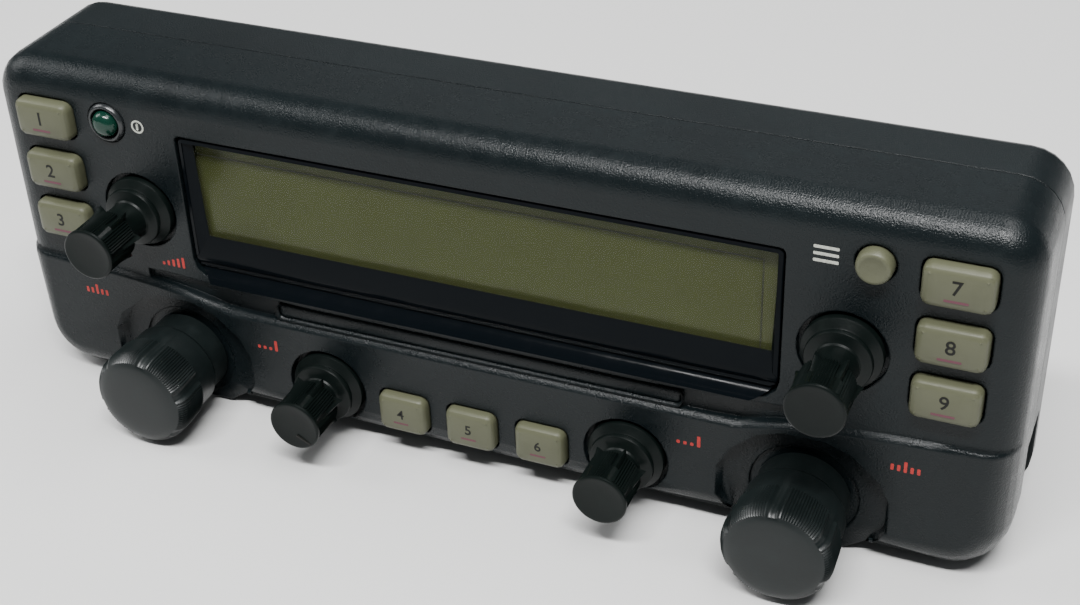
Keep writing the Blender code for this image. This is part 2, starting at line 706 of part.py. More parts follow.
def shaft(name, x, z, radius, front):
    rings = [
        (circle(x, z, radius - 0.25, 20), front),
        (circle(x, z, radius, 20), front + 0.3),
        (circle(x, z, radius, 20), BOARD_DEPTH - 0.4),
    ]
    return loft(name, rings, SHAFT, pivot=(x, 0.0, z))


def build_knobs():
    for side_name, side in (("left", -1), ("right", 1)):
        x = side * VOL_X
        small_knob(f"vol_knob_{side_name}", x, VOL_Z, VOL_REACH, VOL_POCKET, 0.0)
        shaft(f"vol_shaft_{side_name}", x, VOL_Z, SHAFT_RADIUS, -VOL_REACH + 1.9)
        control(f"vol_pot_{side_name}", x, VOL_Z, 4.7, SHAFT_RADIUS, 1.4)
        x = side * SQL_X
        small_knob(f"sql_knob_{side_name}", x, SQL_Z, SQL_REACH, SQL_POCKET, -0.4)
        shaft(f"sql_shaft_{side_name}", x, SQL_Z, SHAFT_RADIUS, -SQL_REACH + 1.9)
        control(f"sql_pot_{side_name}", x, SQL_Z, 4.7, SHAFT_RADIUS, 1.1)
        x = side * DIAL_X
        dial_knob(f"dial_knob_{side_name}", x, DIAL_Z)
        shaft(f"dial_shaft_{side_name}", x, DIAL_Z, DIAL_SHAFT_RADIUS, -DIAL_REACH + 2.8)
        control(f"dial_encoder_{side_name}", x, DIAL_Z, 6.0, DIAL_SHAFT_RADIUS, 1.0, low=2.3)


def build_fasteners():
    for place, (x, z) in SCREWS.items():
        name = f"cover_screw_{place}"
        profile = [
            (SCREW_TIP, SCREW_RADIUS - 0.3),
            (SCREW_TIP + 0.4, SCREW_RADIUS),
            (HEAD_DEPTH, SCREW_RADIUS),
            (HEAD_DEPTH, HEAD_RADIUS),
            (HEAD_DEPTH + 1.0, HEAD_RADIUS),
            (HEAD_DEPTH + 1.6, HEAD_RADIUS - 0.6),
        ]
        screw = turned(name, profile, STEEL, x, z, count=16)
        arm = rounded(x, z, 2.4, 0.6, 0.05, seg=1)
        combine(screw, prisms(f"{name}_slot_a", [(arm, HEAD_DEPTH + 0.9, BODY_DEPTH + 1)]))
        arm = rounded(x, z, 0.6, 2.4, 0.05, seg=1)
        combine(screw, prisms(f"{name}_slot_b", [(arm, HEAD_DEPTH + 0.9, BODY_DEPTH + 1)]))
    for side_name, side in (("left", -1), ("right", 1)):
        back = BODY_DEPTH - 0.1
        front = back - INSERT_LENGTH
        ring = [(front, 1.25), (front, INSERT_RADIUS), (back, INSERT_RADIUS), (back, 1.25)]
        turned(f"mount_insert_{side_name}", ring, BRASS, side * INSERT_X, INSERT_Z, 20, True)


def build_jack():
    front, back = JACK_DEPTHS
    middle = (JACK_LOW + JACK_HIGH) / 2
    x_low = JACK_FACE_X - JACK_LENGTH
    flat = rounded(JACK_FACE_X - JACK_LENGTH / 2, middle, JACK_LENGTH, JACK_WIDTH, 0.2, seg=1)
    jack = loft("control_jack", [(flat, front), (flat, back)], JACK, smooth=False)
    half = JACK_WIDTH / 2 - SOCKET_WALL
    low = (x_low + 2.5, front + 0.7, middle - half)
    high = (JACK_FACE_X + 4, back - 0.5, middle + half)
    combine(jack, box_cutter("jack_socket", low, high))
    root, tip = x_low + 2.8, x_low + 10.5
    comb = [(root, middle - 4.2), (tip, middle - 4.2)]
    for step in range(6):
        start = middle - 4.2 + 1.6 * step
        comb += [(tip, start), (tip, start + 0.5)]
        if step < 5:
            comb += [(root + 0.8, start + 0.5), (root + 0.8, start + 1.6)]
    comb += [(root, middle + 4.3)]
    outline = [point for k, point in enumerate(comb) if k == 0 or point != comb[k - 1]]
    loft("jack_contacts", [(outline, front + 0.9), (outline, front + 1.3)], GOLD, smooth=False)


build_front_case()
build_rear_cover()
build_display()
build_board()
build_buttons()
build_knobs()
build_fasteners()
build_jack()
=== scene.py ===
import bpy
import math
from mathutils import Matrix, Vector


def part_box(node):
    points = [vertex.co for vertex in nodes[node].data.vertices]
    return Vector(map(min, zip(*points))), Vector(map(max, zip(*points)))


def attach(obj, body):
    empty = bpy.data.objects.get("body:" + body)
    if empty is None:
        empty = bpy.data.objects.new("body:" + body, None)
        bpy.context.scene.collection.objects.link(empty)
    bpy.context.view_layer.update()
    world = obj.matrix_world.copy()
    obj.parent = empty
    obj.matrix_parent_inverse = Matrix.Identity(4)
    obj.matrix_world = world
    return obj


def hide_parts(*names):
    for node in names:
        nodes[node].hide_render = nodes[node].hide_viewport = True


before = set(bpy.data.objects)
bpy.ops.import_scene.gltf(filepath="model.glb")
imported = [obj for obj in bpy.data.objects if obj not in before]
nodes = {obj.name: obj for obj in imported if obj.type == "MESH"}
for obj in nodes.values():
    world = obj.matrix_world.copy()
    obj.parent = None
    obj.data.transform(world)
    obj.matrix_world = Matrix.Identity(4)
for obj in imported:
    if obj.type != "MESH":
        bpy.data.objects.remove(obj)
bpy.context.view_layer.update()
mm = 0.001
chinProud = 0.8 * mm
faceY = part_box("front_case")[0].y + chinProud  # the flat upper front face
print("frame loaded,", len(nodes), "nodes")


# small helpers used by every piece
def inObjectMode():
    if bpy.context.mode != "OBJECT":
        bpy.ops.object.mode_set(mode="OBJECT")


def only(piece):
    inObjectMode()
    bpy.ops.object.select_all(action="DESELECT")
    piece.select_set(True)
    bpy.context.view_layer.objects.active = piece


def fixPlace(piece):
    only(piece)
    bpy.ops.object.transform_apply(location=True, rotation=True, scale=True)


def inEditMode(piece, mode="VERT"):
    only(piece)
    bpy.ops.object.mode_set(mode="EDIT")
    bpy.ops.mesh.select_mode(type=mode)


def clearPicks(mesh):
    for face in mesh.polygons:
        face.select = False
    for edge in mesh.edges:
        edge.select = False
    for vert in mesh.vertices:
        vert.select = False


def pickVerts(piece, test):
    inObjectMode()
    clearPicks(piece.data)
    for vert in piece.data.vertices:
        vert.select = test(vert.co)
    inEditMode(piece, "VERT")


def pickEdges(piece, test):
    inObjectMode()
    mesh = piece.data
    clearPicks(mesh)
    for edge in mesh.edges:
        edge.select = test(mesh.vertices[edge.vertices[0]].co, mesh.vertices[edge.vertices[1]].co)
    inEditMode(piece, "EDGE")


def pickFaces(piece, test):
    inObjectMode()
    clearPicks(piece.data)
    for face in piece.data.polygons:
        face.select = test(face.center, face.normal)
    inEditMode(piece, "FACE")


def addBlock(name, centre, size):
    inObjectMode()
    bpy.ops.object.select_all(action="DESELECT")
    bpy.ops.mesh.primitive_cube_add(size=1, location=centre, scale=size)
    piece = bpy.context.object
    piece.name = name
    fixPlace(piece)
    return piece


def roundUprights(piece, radius, segments, test=None):
    # bevels the edges that run front to back
    def upright(a, b):
        runs = abs(a.x - b.x) < 1e-6 and abs(a.z - b.z) < 1e-6
        return runs and (test is None or test(a))
    pickEdges(piece, upright)
    bpy.ops.mesh.bevel(offset=radius, segments=segments, affect="EDGES")
    inObjectMode()


def softenOutline(piece, side, radius, segments):
    # bevels the outline of the face looking forward (-1) or back (1)
    pickFaces(piece, lambda centre, normal: normal.y * side > 0.95)
    bpy.ops.mesh.region_to_loop()
    bpy.ops.mesh.bevel(offset=radius, segments=segments, affect="EDGES")
    inObjectMode()


def smooth(piece, degrees=32):
    only(piece)
    bpy.ops.object.shade_smooth_by_angle(angle=math.radians(degrees))


def tidyNormals(piece):
    inEditMode(piece)
    bpy.ops.mesh.select_all(action="SELECT")
    bpy.ops.mesh.remove_doubles(threshold=1e-6)
    bpy.ops.mesh.normals_make_consistent(inside=False)
    inObjectMode()


def copyTo(piece, name, shift):
    only(piece)
    bpy.ops.object.duplicate(linked=False)
    twin = bpy.context.object
    twin.name = name
    twin.location = shift
    fixPlace(twin)
    return twin


def joinPieces(parts):
    only(parts[0])
    for part in parts:
        part.select_set(True)
    bpy.ops.object.join()


def dress(piece, finish, body, node=None):
    piece.data.materials.clear()
    piece.data.materials.append(finish)
    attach(piece, body)
    if node:
        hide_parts(node)


# finishes
surfaceOutputs = (
    ("Color", "NodeSocketColor"),
    ("Roughness", "NodeSocketFloat"),
    ("Height", "NodeSocketFloat"),
)


def makeGroup(name, inputs):
    group = bpy.data.node_groups.new(name, "ShaderNodeTree")
    for label, kind, value in inputs:
        socket = group.interface.new_socket(label, in_out="INPUT", socket_type=kind)
        socket.default_value = value
    for label, kind in surfaceOutputs:
        group.interface.new_socket(label, in_out="OUTPUT", socket_type=kind)
    entry = group.nodes.new("NodeGroupInput")
    leave = group.nodes.new("NodeGroupOutput")
    place = group.nodes.new("ShaderNodeTexCoord")
    return group, entry, leave, place


def closeGroup(group, leave, tone, gloss, height):
    for label, source in (("Color", tone), ("Roughness", gloss), ("Height", height)):
        group.links.new(source, leave.inputs[label])


def noiseNode(group, place, scale, detail, stretch=None):
    noise = group.nodes.new("ShaderNodeTexNoise")
    noise.inputs["Detail"].default_value = detail
    source = place.outputs["Object"]
    if stretch:
        turn = group.nodes.new("ShaderNodeMapping")
        turn.inputs["Scale"].default_value = stretch
        group.links.new(source, turn.inputs["Vector"])
        source = turn.outputs["Vector"]
    group.links.new(source, noise.inputs["Vector"])
    if isinstance(scale, (int, float)):
        noise.inputs["Scale"].default_value = scale
    else:
        group.links.new(scale, noise.inputs["Scale"])
    return noise.outputs["Fac"]


def rangeNode(group, value, low, high, start=0.3, end=0.7):
    spread = group.nodes.new("ShaderNodeMapRange")
    group.links.new(value, spread.inputs["Value"])
    spread.inputs["From Min"].default_value = start
    spread.inputs["From Max"].default_value = end
    for label, source in (("To Min", low), ("To Max", high)):
        if isinstance(source, (int, float)):
            spread.inputs[label].default_value = source
        else:
            group.links.new(source, spread.inputs[label])
    return spread.outputs["Result"]


def mixNode(group, factor, first, second):
    mix = group.nodes.new("ShaderNodeMix")
    mix.data_type = "RGBA"
    group.links.new(factor, mix.inputs["Factor"])
    group.links.new(first, mix.inputs[6])  # the colour sockets A and B
    group.links.new(second, mix.inputs[7])
    return mix.outputs[2]  # the colour result


def mathNode(group, operation, first, second):
    maths = group.nodes.new("ShaderNodeMath")
    maths.operation = operation
    for index, source in enumerate((first, second)):
        if isinstance(source, (int, float)):
            maths.inputs[index].default_value = source
        else:
            group.links.new(source, maths.inputs[index])
    return maths.outputs[0]


def makeSkinGroup():
    # moulded plastic: a fine pear-skin grain, slow blotches of tone, and rubbed patches
    group, entry, leave, place = makeGroup(
        "mouldedSkin",
        [
            ("Tone", "NodeSocketColor", (0.03, 0.03, 0.03, 1)),
            ("Worn Tone", "NodeSocketColor", (0.06, 0.06, 0.06, 1)),
            ("Grain Scale", "NodeSocketFloat", 3200.0),
            ("Gloss Low", "NodeSocketFloat", 0.35),
            ("Gloss High", "NodeSocketFloat", 0.5),
        ],
    )
    grain = noiseNode(group, place, entry.outputs["Grain Scale"], 2.0)
    slow = noiseNode(group, place, 60.0, 3.0)
    wear = noiseNode(group, place, 420.0, 4.0)
    rubbed = rangeNode(group, wear, 0.0, 0.8, 0.5, 0.75)
    blotch = rangeNode(group, slow, 0.0, 0.35)
    amount = mathNode(group, "ADD", mathNode(group, "MULTIPLY", rubbed, 0.4), blotch)
    tone = mixNode(group, amount, entry.outputs["Tone"], entry.outputs["Worn Tone"])
    gloss = rangeNode(group, wear, entry.outputs["Gloss Low"], entry.outputs["Gloss High"])
    closeGroup(group, leave, tone, gloss, grain)
    return group


def makeMetalGroup():
    # drawn or turned metal: long fine lines and a cloudy tarnish
    group, entry, leave, place = makeGroup(
        "turnedMetal",
        [
            ("Tone", "NodeSocketColor", (0.6, 0.6, 0.6, 1)),
            ("Tarnish", "NodeSocketColor", (0.4, 0.4, 0.38, 1)),
            ("Gloss Low", "NodeSocketFloat", 0.25),
            ("Gloss High", "NodeSocketFloat", 0.45),
        ],
    )
    lines = noiseNode(group, place, 900.0, 2.0, (1.0, 12.0, 1.0))
    cloud = noiseNode(group, place, 300.0, 3.0)
    amount = rangeNode(group, cloud, 0.0, 1.0)
    tone = mixNode(group, amount, entry.outputs["Tone"], entry.outputs["Tarnish"])
    gloss = rangeNode(group, lines, entry.outputs["Gloss Low"], entry.outputs["Gloss High"])
    closeGroup(group, leave, tone, gloss, lines)
    return group


def makeInkGroup():
    # pad-printed ink: even, with tiny pinholes of tone
    group, entry, leave, place = makeGroup(
        "padPrint",
        [
            ("Tone", "NodeSocketColor", (0.8, 0.8, 0.8, 1)),
            ("Thin Tone", "NodeSocketColor", (0.5, 0.5, 0.5, 1)),
        ],
    )
    specks = noiseNode(group, place, 2600.0, 2.0)
    amount = rangeNode(group, specks, 0.0, 1.0, 0.52, 0.72)
    tone = mixNode(group, amount, entry.outputs["Tone"], entry.outputs["Thin Tone"])
    gloss = rangeNode(group, specks, 0.45, 0.6)
    closeGroup(group, leave, tone, gloss, specks)
    return group


skinGroup = makeSkinGroup()
metalGroup = makeMetalGroup()
inkGroup = makeInkGroup()


def makeFinish(name, group, values, bump=0.0, shader=None, softEdge=0.0):
    # values feed the group; shader sets the Principled shader's own sockets
    finish = bpy.data.materials.new(name)
    finish.use_nodes = True
    tree = finish.node_tree
    principled = tree.nodes["Principled BSDF"]
    effect = tree.nodes.new("ShaderNodeGroup")
    effect.node_tree = group
    for label, value in values.items():
        effect.inputs[label].default_value = value
    tree.links.new(effect.outputs["Color"], principled.inputs["Base Color"])
    tree.links.new(effect.outputs["Roughness"], principled.inputs["Roughness"])
    if bump:
        bumps = tree.nodes.new("ShaderNodeBump")
        bumps.inputs["Strength"].default_value = 1.0
        bumps.inputs["Distance"].default_value = bump
        tree.links.new(effect.outputs["Height"], bumps.inputs["Height"])
        tree.links.new(bumps.outputs["Normal"], principled.inputs["Normal"])
        if softEdge:
            edge = tree.nodes.new("ShaderNodeBevel")
            edge.samples = 6
            edge.inputs["Radius"].default_value = softEdge
            tree.links.new(edge.outputs["Normal"], bumps.inputs["Normal"])
    for label, value in (shader or {}).items():
        principled.inputs[label].default_value = value
    finish.diffuse_color = (*values["Tone"][:3], 1)
    return finish


def skin(name, tone, worn, gloss, grain=3200.0, bump=0.00002, shader=None, softEdge=0.0):
    values = {
        "Tone": (*tone, 1),
        "Worn Tone": (*worn, 1),
        "Grain Scale": grain,
        "Gloss Low": gloss[0],
        "Gloss High": gloss[1],
    }
    return makeFinish(name, skinGroup, values, bump, shader, softEdge)


def metal(name, tone, tarnish, gloss, bump=0.000004):
    values = {
        "Tone": (*tone, 1),
        "Tarnish": (*tarnish, 1),
        "Gloss Low": gloss[0],
        "Gloss High": gloss[1],
    }
    return makeFinish(name, metalGroup, values, bump, {"Metallic": 1.0})


def ink(name, tone, thin):
    return makeFinish(name, inkGroup, {"Tone": (*tone, 1), "Thin Tone": (*thin, 1)}, 0.000004,
                      {"Specular IOR Level": 0.2})


finishes = {
    "case": skin("caseSkin", (0.003, 0.0050, 0.0058), (0.006, 0.0095, 0.0105), (0.24, 0.33),
                 4800.0, 0.00006, {"Specular IOR Level": 0.20}, 0.0003),
    "cover": skin("coverSkin", (0.0035, 0.0055, 0.0063), (0.007, 0.0105, 0.0115), (0.28, 0.37),
                  4800.0, 0.00006, {"Specular IOR Level": 0.22}, 0.0003),
    "knob": skin("knobSkin", (0.004, 0.006, 0.006), (0.010, 0.014, 0.014), (0.28, 0.40),
                 3600.0, 0.000012, {"Specular IOR Level": 0.28}),
    # the small knobs: a darker, less glossy copy of the knob skin, which paints shade onto them
    "smallKnob": skin("smallKnobShadedSkin", (0.002, 0.0035, 0.0032), (0.005, 0.008, 0.007), (0.28, 0.40),
                      3600.0, 0.000012, {"Specular IOR Level": 0.14}),
    "key": skin("keySkin", (0.074, 0.077, 0.046), (0.060, 0.063, 0.036), (0.38, 0.52),
                2400.0, 0.000012, {"Specular IOR Level": 0.35}),
    "power": skin("powerLens", (0.002, 0.024, 0.015), (0.004, 0.038, 0.024), (0.12, 0.22), 900.0, 0.00001,
                  {"Transmission Weight": 0.2, "Specular IOR Level": 0.3}),
    "collar": skin("collarSkin", (0.010, 0.012, 0.013), (0.02, 0.022, 0.023), (0.22, 0.32),
                   3000.0, 0.00001),
    "lens": skin("lensEdge", (0.002, 0.003, 0.004), (0.003, 0.004, 0.005), (0.10, 0.18), 500.0, 0.000004,
                 {"Specular IOR Level": 0.05}),
    "clear": skin("lensClear", (0.010, 0.012, 0.010), (0.014, 0.016, 0.012), (0.03, 0.06), 400.0, 0.000003,
                  {"Alpha": 0.06}),
    "bezel": skin("bezelSkin", (0.008, 0.009, 0.010), (0.014, 0.015, 0.016), (0.45, 0.60)),
    "guide": skin("guideAcrylic", (0.70, 0.72, 0.58), (0.60, 0.62, 0.50), (0.15, 0.30), 900.0),
    "strip": skin("stripRubber", (0.50, 0.17, 0.20), (0.30, 0.10, 0.12), (0.65, 0.80), 1800.0),
    "board": skin("boardMask", (0.02, 0.13, 0.05), (0.015, 0.09, 0.035), (0.25, 0.45), 900.0),
    "chip": skin("chipBody", (0.018, 0.018, 0.018), (0.03, 0.03, 0.03), (0.5, 0.65)),
    "lamp": skin("lampBody", (0.80, 0.77, 0.62), (0.66, 0.62, 0.44), (0.25, 0.4)),
    "switch": skin("switchBody", (0.025, 0.025, 0.025), (0.04, 0.04, 0.04), (0.4, 0.6)),
    "jack": skin("jackBody", (0.018, 0.019, 0.020), (0.03, 0.03, 0.03), (0.4, 0.55)),
    "screw": metal("screwSteel", (0.10, 0.10, 0.11), (0.18, 0.17, 0.16), (0.30, 0.45)),
    "brass": metal("insertBrass", (0.72, 0.50, 0.20), (0.48, 0.32, 0.12), (0.22, 0.4)),
    "shaft": metal("shaftSteel", (0.58, 0.58, 0.58), (0.42, 0.42, 0.40), (0.22, 0.4)),
    "tin": metal("tinnedSteel", (0.50, 0.51, 0.52), (0.34, 0.34, 0.33), (0.3, 0.5)),
    "gold": metal("contactGold", (0.83, 0.60, 0.24), (0.62, 0.42, 0.16), (0.18, 0.3)),
    "inkLight": ink("inkLight", (0.42, 0.43, 0.38), (0.30, 0.31, 0.27)),
    "inkRed": ink("inkRed", (0.36, 0.030, 0.026), (0.26, 0.03, 0.03)),
    "inkBlack": ink("inkBlack", (0.006, 0.006, 0.005), (0.014, 0.014, 0.012)),
    "inkRose": ink("inkRose", (0.105, 0.038, 0.052), (0.110, 0.048, 0.058)),
    "inkLine": ink("inkLine", (0.020, 0.022, 0.010), (0.03, 0.034, 0.014)),
}
print("finishes made")


# camera, floor and lights
cameraSettings = {
    "place": (0.083563, faceY - 0.164737, 0.147772),
    "turn": (56.50608566, 1.87400721, 22.77466829),
    "lens": 57.8007,
}
lightSettings = {
    "top": {"place": (0.22, 0.06, 0.90), "aim": (0, 0, 0.03), "size": (1.0, 0.35), "power": 8.0},
    "ridge": {"place": (0.08, -0.39, 0.80), "aim": (0.03, 0, 0.05), "size": (0.60, 0.08), "power": 15.5},
    "left": {"place": (-0.60, -0.10, 0.45), "aim": (0, 0, 0.02), "size": (0.3, 0.4), "power": 2.5},
    "back": {"place": (-0.25, 0.95, 0.55), "aim": (0, 0, 0.03), "size": (0.8, 0.3), "power": 0.6},
}
studioSettings = {
    "floorTone": (0.60, 0.60, 0.595),
    "floorSize": 6,
    "floorDrop": 0.0002,
    "worldTone": (0.93, 0.97, 1.0),
    "worldPower": 0.16,
}


def makeCamera(settings):
    data = bpy.data.cameras.new("camera")
    camera = bpy.data.objects.new("camera", data)
    bpy.context.scene.collection.objects.link(camera)
    data.lens = settings["lens"]
    data.sensor_width = 36
    data.clip_start = 0.01
    camera.location = settings["place"]
    camera.rotation_euler = [math.radians(angle) for angle in settings["turn"]]
    bpy.context.scene.camera = camera


def makeLight(name, settings):
    data = bpy.data.lights.new(name, "AREA")
    data.shape = "RECTANGLE"
    data.size, data.size_y = settings["size"]
    data.energy = settings["power"]
    light = bpy.data.objects.new(name, data)
    bpy.context.scene.collection.objects.link(light)
    light.location = settings["place"]
    aim = Vector(settings["aim"]) - Vector(settings["place"])
    light.rotation_euler = aim.to_track_quat("-Z", "Y").to_euler()


def makeStudio(settings):
    world = bpy.data.worlds.new("studio")
    bpy.context.scene.world = world
    world.use_nodes = True
    back = world.node_tree.nodes["Background"]
    back.inputs["Color"].default_value = (*settings["worldTone"], 1)
    back.inputs["Strength"].default_value = settings["worldPower"]
    inObjectMode()
    bpy.ops.object.select_all(action="DESELECT")
    bpy.ops.mesh.primitive_plane_add(size=settings["floorSize"], location=(0, 0, -settings["floorDrop"]))
    floor = bpy.context.object
    floor.name = "studioFloor"
    paper = bpy.data.materials.new("floorPaper")
    paper.use_nodes = True
    shader = paper.node_tree.nodes["Principled BSDF"]
    shader.inputs["Base Color"].default_value = (*settings["floorTone"], 1)
    shader.inputs["Roughness"].default_value = 0.95
    floor.data.materials.append(paper)


makeCamera(cameraSettings)
for lightName, settings in lightSettings.items():
    makeLight(lightName, settings)
makeStudio(studioSettings)
print("camera, floor and lights placed")


# front case and rear cover, taken from a merged copy of their CAD nodes
shellSettings = {
    "front_case": {"name": "frontShell", "finish": "case", "slot": "case_plastic"},
    "rear_cover": {"name": "rearShell", "finish": "cover", "slot": "cover_plastic"},
}


def makeShell(node, settings):
    only(nodes[node])
    bpy.ops.object.duplicate(linked=False)
    piece = bpy.context.object
    for key in list(piece.keys()):
        if key.startswith("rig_"):
            del piece[key]
    piece.parent = None
    piece.name = settings["name"]
    inEditMode(piece)
    bpy.ops.mesh.select_all(action="SELECT")
    bpy.ops.mesh.remove_doubles(threshold=2e-6)
    bpy.ops.mesh.dissolve_limited(angle_limit=math.radians(0.6))
    inObjectMode()
    smooth(piece, 34)
    even = piece.modifiers.new("evenNormals", "WEIGHTED_NORMAL")
    even.keep_sharp = True
    bpy.ops.object.modifier_apply(modifier=even.name)
    dress(piece, finishes[settings["finish"]], "head", node)
    return piece


grooveSettings = {
    "edgeHalf": 36,
    "edgeHeights": (18.5, 20.5),
    "edgeDepths": (-0.02, 0.72),
    "lift": 0.8,
    "half": 29.0,
    "low": 17.02,
    "high": 19.66,
    "depth": 0.15,
    "back": 0.72,
    "corner": 1.0,
    "rim": 0.12,
}


def raiseGrooveEdge(piece, settings):
    # the groove's upper edge, between the window and the lower band
    lowest, highest = settings["edgeHeights"]
    nearest, deepest = settings["edgeDepths"]

    def onEdge(co):
        behind, height = (co.y - faceY) / mm, co.z / mm
        within = abs(co.x) < settings["edgeHalf"] * mm
        return within and lowest < height < highest and nearest < behind < deepest
    pickVerts(piece, onEdge)
    bpy.ops.transform.translate(value=(0, 0, settings["lift"] * mm))
    inObjectMode()


def makeGrooveFill(settings):
    # fills the middle of the groove, so that only its two ends stay deep
    low, high = settings["low"] * mm, settings["high"] * mm
    front, back = faceY + settings["depth"] * mm, faceY + settings["back"] * mm
    centre = (0, (front + back) / 2, (low + high) / 2)
    fill = addBlock("grooveFill", centre, (2 * settings["half"] * mm, back - front, high - low))
    roundUprights(fill, settings["corner"] * mm, 6)
    softenOutline(fill, -1, settings["rim"] * mm, 3)
    smooth(fill, 40)
    dress(fill, finishes["case"], "head", None)


seatSettings = {"floor": 0.3, "near": 0.03, "deeper": 0.5, "reach": 13.0}


def deepenSeats(piece, settings):
    # the sunken octagons behind the two dials
    for side in ("left", "right"):
        low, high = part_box(f"dial_knob_{side}")
        x, z = (low.x + high.x) / 2, (low.z + high.z) / 2

        def onFloor(co):
            inside = math.hypot(co.x - x, co.z - z) < settings["reach"] * mm
            return inside and abs(co.y - faceY - settings["floor"] * mm) < settings["near"] * mm
        pickVerts(piece, onFloor)
        print("seat", side, "points moved:", piece.data.total_vert_sel)
        bpy.ops.transform.translate(value=(0, settings["deeper"] * mm, 0))
    inObjectMode()


shells = {}
for shellNode, settings in shellSettings.items():
    shells[shellNode] = makeShell(shellNode, settings)
raiseGrooveEdge(shells["front_case"], grooveSettings)
deepenSeats(shells["front_case"], seatSettings)
makeGrooveFill(grooveSettings)
print("shells made")


# knobs
def turnedBody(name, centre, rings, sides):
    # rings are (distance behind the face, radius) in mm, front to back
    inObjectMode()
    bpy.ops.object.select_all(action="DESELECT")
    x, z = centre
    start, radius = rings[0]
    spot = (x, faceY + start * mm, z)
    bpy.ops.mesh.primitive_circle_add(
        vertices=sides, radius=radius * mm, location=spot, rotation=(math.pi / 2, 0, 0)
    )
    piece = bpy.context.object
    piece.name = name
    bpy.ops.object.mode_set(mode="EDIT")
    bpy.ops.mesh.select_mode(type="VERT")
    bpy.ops.mesh.select_all(action="SELECT")
    last = (start, radius)
    for depth, radius in rings[1:]:
        step = (depth - last[0]) * mm
        bpy.ops.mesh.extrude_edges_move(TRANSFORM_OT_translate={"value": (0, step, 0)})
        change = radius / last[1]
        bpy.ops.transform.resize(value=(change, 1, change), center_override=spot)
        last = (depth, radius)
    inObjectMode()
    fixPlace(piece)
    return piece


def capEnds(piece):
    # fills the first and last ring
    inEditMode(piece, "EDGE")
    bpy.ops.mesh.select_all(action="DESELECT")
    bpy.ops.mesh.select_non_manifold(extend=False, use_boundary=True)
    bpy.ops.mesh.fill_holes(sides=0)
    inObjectMode()


def shapeRing(piece, centre, depth, blade, ribs, settings):
    # pulls one ring in by its blade and rib amounts (mm below the ring's own radius)
    x, z = centre
    sides = settings["sides"]
    sector = sides // settings["panels"]
    y = faceY + depth * mm
    first = math.radians(settings["phase"]) - math.pi * (len(blade) - 1) / sides
    amounts = {}
    for vert in piece.data.vertices:
        if abs(vert.co.y - y) > 1e-6:
            continue
        turn = math.atan2(vert.co.z - z, vert.co.x - x) - first
        index = round(turn / (2 * math.pi) * sides) % sector
        found = blade[index] if index < len(blade) else ribs[(index - len(blade)) % 2]
        amounts.setdefault(found, []).append(vert.index)
        radius = math.hypot(vert.co.x - x, vert.co.z - z)
    for amount, members in amounts.items():
        inObjectMode()
        clearPicks(piece.data)
        for index in members:
            piece.data.vertices[index].select = True
        inEditMode(piece)
        change = 1 - amount * mm / radius
        bpy.ops.transform.resize(value=(change, 1, change), center_override=(x, faceY, z))
    inObjectMode()


smallKnobSettings = {
    "cap": 3.65,
    "grip": 3.5,
    "sides": 120,
    "panels": 6,
    "vol": {"reach": 12.4, "pocket": 5.6, "face": 0.0, "phase": 56},
    "sql": {"reach": 10.4, "pocket": 5.8, "face": -0.4, "phase": 71},
    # distance behind the cap, blade amounts, rib amounts
    "shape": [
        (0.72, (0.0, 0.3, 0.45, 0.48, 0.45, 0.3, 0.0), (0.0, 0.2)),
        (3.2, (0.22, 0.16, 0.1, 0.02, 0.1, 0.16, 0.22), (0.0, 0.2)),
        (5.85, (0.4, 0.1, -0.15, -0.35, -0.15, 0.1, 0.4), (0.02, 0.22)),
        (5.95, (0.6, 0.15, -0.18, -0.42, -0.18, 0.15, 0.6), (0.72, 0.72)),
        (6.6, (0.75, 0.5, 0.0, -0.5, 0.0, 0.5, 0.75), (0.78, 0.78)),
    ],
}
dialSettings = {
    "reach": 13.0,
    "sides": 240,
    "panels": 6,
    "phase": 78,
    "turnRight": 16,
    "blade": (0.0, 0.16, 0.34, 0.4, 0.4, 0.38, 0.4, 0.4, 0.34, 0.16, 0.0),
    "ribs": (0.0, 0.16),
}


def knobCentre(node):
    low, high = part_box(node)
    return ((low.x + high.x) / 2, (low.z + high.z) / 2)


def finishKnob(piece, kind, side):
    # the volume and squelch knobs take the darker copy of the knob skin, which is painted shade
    finish = finishes["knob" if kind == "dial" else "smallKnob"]
    dress(piece, finish, f"{kind}_{side}", f"{kind}_knob_{side}")


def copyKnob(piece, kind, turn):
    # the right-hand knob: the same piece moved across and turned on its own axis
    here, there = knobCentre(f"{kind}_knob_left"), knobCentre(f"{kind}_knob_right")
    spin = Matrix.Rotation(math.radians(turn), 3, "Y")
    start = Vector((here[0], 0, here[1]))
    only(piece)
    bpy.ops.object.duplicate(linked=False)
    twin = bpy.context.object
    twin.name = f"{kind}Knob_right"
    twin.rotation_euler = (0, math.radians(turn), 0)
    twin.location = Vector((there[0], 0, there[1])) - spin @ start
    fixPlace(twin)
    finishKnob(twin, kind, "right")
    finishKnob(piece, kind, "left")


